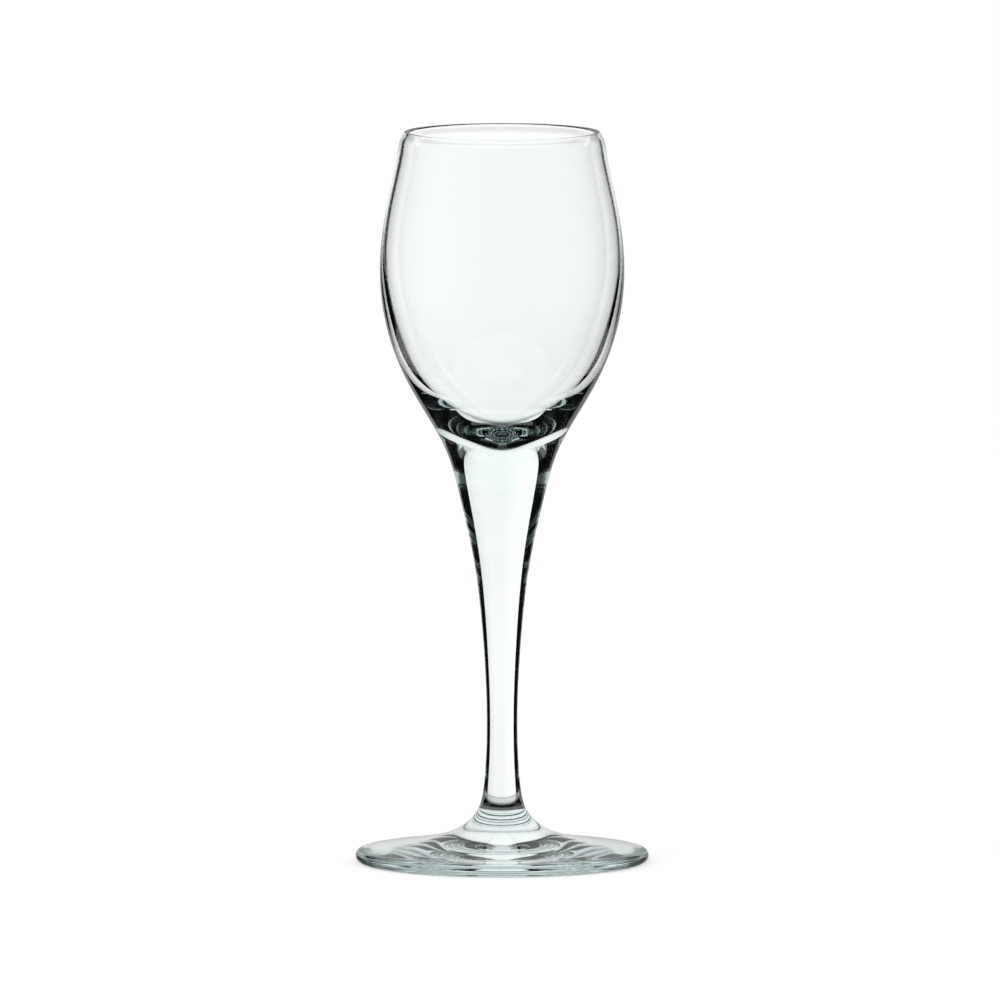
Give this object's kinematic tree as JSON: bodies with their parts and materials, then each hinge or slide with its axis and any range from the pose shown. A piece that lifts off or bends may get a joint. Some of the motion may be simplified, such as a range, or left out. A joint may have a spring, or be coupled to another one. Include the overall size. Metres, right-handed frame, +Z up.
{
  "type": "liqueur glass",
  "caption": "Small stemmed glass: a tulip bowl that closes in to a rounded lip, on a solid drawn stem and a round foot.",
  "frame": {"origin": "centre of the foot, on the plane of the ring that it stands on", "axes": "+Z up along the axis of the glass, towards the mouth; X and Y are alike"},
  "size_m": [0.06, 0.06, 0.15],
  "materials": {
    "clear_glass": "clear polished glass with a faint green cast in its thick parts"
  },
  "bodies": {
    "root": {"liqueur_glass": "clear_glass"}
  },
  "joints": []
}
